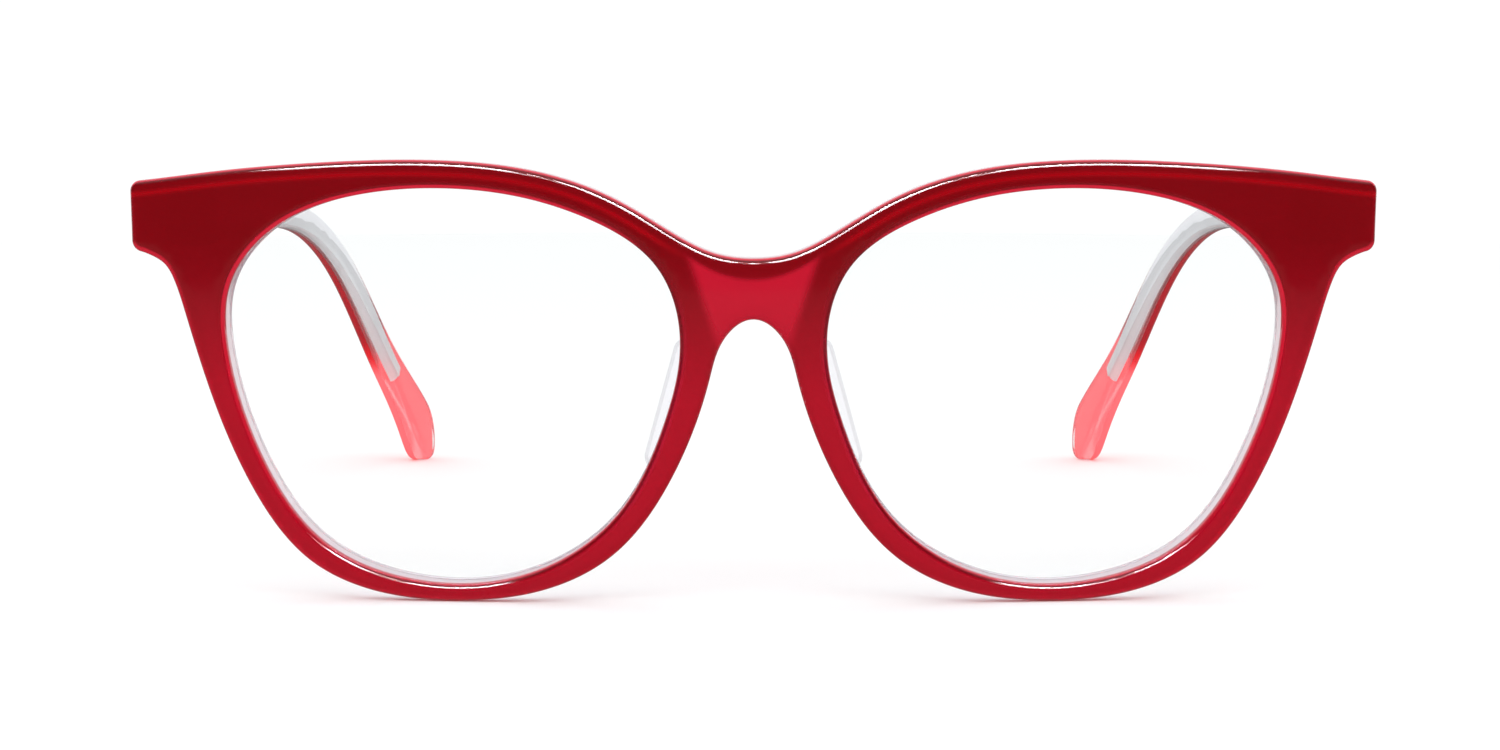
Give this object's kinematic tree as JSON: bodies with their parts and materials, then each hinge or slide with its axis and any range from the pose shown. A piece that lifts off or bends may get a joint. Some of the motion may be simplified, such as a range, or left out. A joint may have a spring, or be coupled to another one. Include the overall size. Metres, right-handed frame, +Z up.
{
  "type": "eyeglasses",
  "caption": "Cat-eye eyeglasses of laminated red and clear acetate, with clear lenses, glued nose pads and wire-cored temples that fold on five-leaf screw hinges.",
  "frame": {"origin": "middle of the footprint at table height, the glasses standing open on the rims' lower edges and the temple tips", "axes": "+Y back along the temples, +Z up, +X to the right as seen from the front"},
  "size_m": [0.1406, 0.1436, 0.05],
  "materials": {
    "red_acetate": "polished translucent crystal red",
    "clear_acetate": "polished clear crystal",
    "lens": "clear polished",
    "hinge_metal": "nickel silver, satin",
    "core_metal": "nickel silver, drawn",
    "screw_steel": "stainless steel, turned"
  },
  "bodies": {
    "front": {"front_red_layer": "red_acetate", "front_clear_layer": "clear_acetate", "right_lens": "lens", "right_nose_pad": "clear_acetate", "right_front_hinge": "hinge_metal", "right_hinge_screw": "screw_steel", "left_lens": "lens", "left_nose_pad": "clear_acetate", "left_front_hinge": "hinge_metal", "left_hinge_screw": "screw_steel"},
    "right_temple": {"right_temple_hinge": "hinge_metal", "right_temple_core": "core_metal", "right_temple_red_layer": "red_acetate", "right_temple_clear_layer": "clear_acetate"},
    "left_temple": {"left_temple_hinge": "hinge_metal", "left_temple_core": "core_metal", "left_temple_red_layer": "red_acetate", "left_temple_clear_layer": "clear_acetate"}
  },
  "joints": [
    {"name": "right_temple_hinge", "type": "hinge", "parent": "front", "child": "right_temple", "pos_m": [0.06385, -0.05827, 0.04303], "axis": [0, 0.0924, 0.9957], "range_deg": [0, 70]},
    {"name": "left_temple_hinge", "type": "hinge", "parent": "front", "child": "left_temple", "pos_m": [-0.06385, -0.05827, 0.04303], "axis": [0, -0.0924, -0.9957], "range_deg": [0, 80]}
  ]
}
